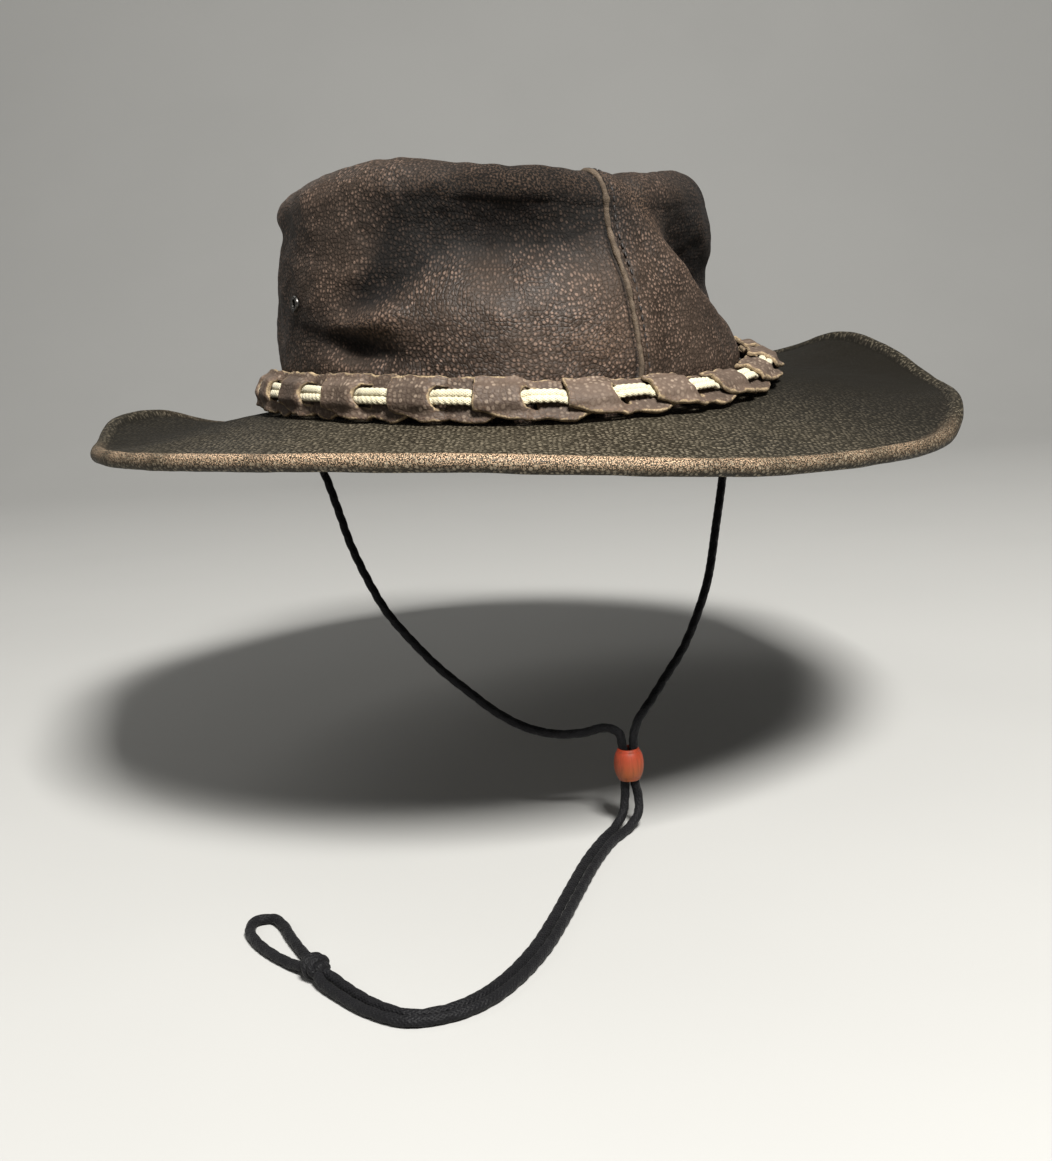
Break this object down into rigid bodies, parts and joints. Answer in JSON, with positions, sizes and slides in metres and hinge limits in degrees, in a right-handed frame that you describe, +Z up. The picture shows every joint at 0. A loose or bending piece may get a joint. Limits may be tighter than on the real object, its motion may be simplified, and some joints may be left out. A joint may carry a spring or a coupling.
{
  "type": "wide-brimmed leather hat with a laced link band and a chin cord",
  "caption": "Soft leather hat with a dented crown, a wide rolled-edge brim, a hatband of laced leather links and a braided chin cord with a sliding bead.",
  "frame": {"origin": "centre of the head opening, in the plane where the crown stands on the brim", "axes": "+Z up through the crown, front of the hat towards -Y, wearer's left towards +X"},
  "size_m": [0.3348, 0.418, 0.2357],
  "materials": {
    "crown_leather": "worn dark brown pebbled leather, satin",
    "brim_leather": "worn olive-brown leather with a copper-coloured rubbed edge",
    "link_leather": "matt brown leather with tan cut edges",
    "raw_edge": "raw tan cut edge",
    "lace_cotton": "matt cream twisted cotton",
    "black_cord": "matt black braid",
    "bead_wood": "orange-red stained wood, satin",
    "eyelet_metal": "dull dark metal"
  },
  "bodies": {
    "root": {"crown": "crown_leather", "crown_seam_edge": "raw_edge", "brim": "brim_leather", "band_link_01": "link_leather", "band_link_02": "link_leather", "band_link_03": "link_leather", "band_link_04": "link_leather", "band_link_05": "link_leather", "band_link_06": "link_leather", "band_link_07": "link_leather", "band_link_08": "link_leather", "band_link_09": "link_leather", "band_link_10": "link_leather", "band_link_11": "link_leather", "band_link_12": "link_leather", "band_link_13": "link_leather", "band_link_14": "link_leather", "band_link_15": "link_leather", "band_link_16": "link_leather", "band_link_17": "link_leather", "band_link_18": "link_leather", "band_link_19": "link_leather", "band_link_20": "link_leather", "band_link_21": "link_leather", "band_link_22": "link_leather", "lace_lower": "lace_cotton", "lace_upper": "lace_cotton", "vent_eyelet_right": "eyelet_metal", "cord_tab_right": "crown_leather", "vent_eyelet_left": "eyelet_metal", "cord_tab_left": "crown_leather", "chin_cord_right": "black_cord", "chin_cord_left": "black_cord", "tail_strand_right": "black_cord", "tail_strand_left": "black_cord", "end_loop": "black_cord", "bead": "bead_wood", "end_knot": "black_cord"}
  },
  "joints": []
}
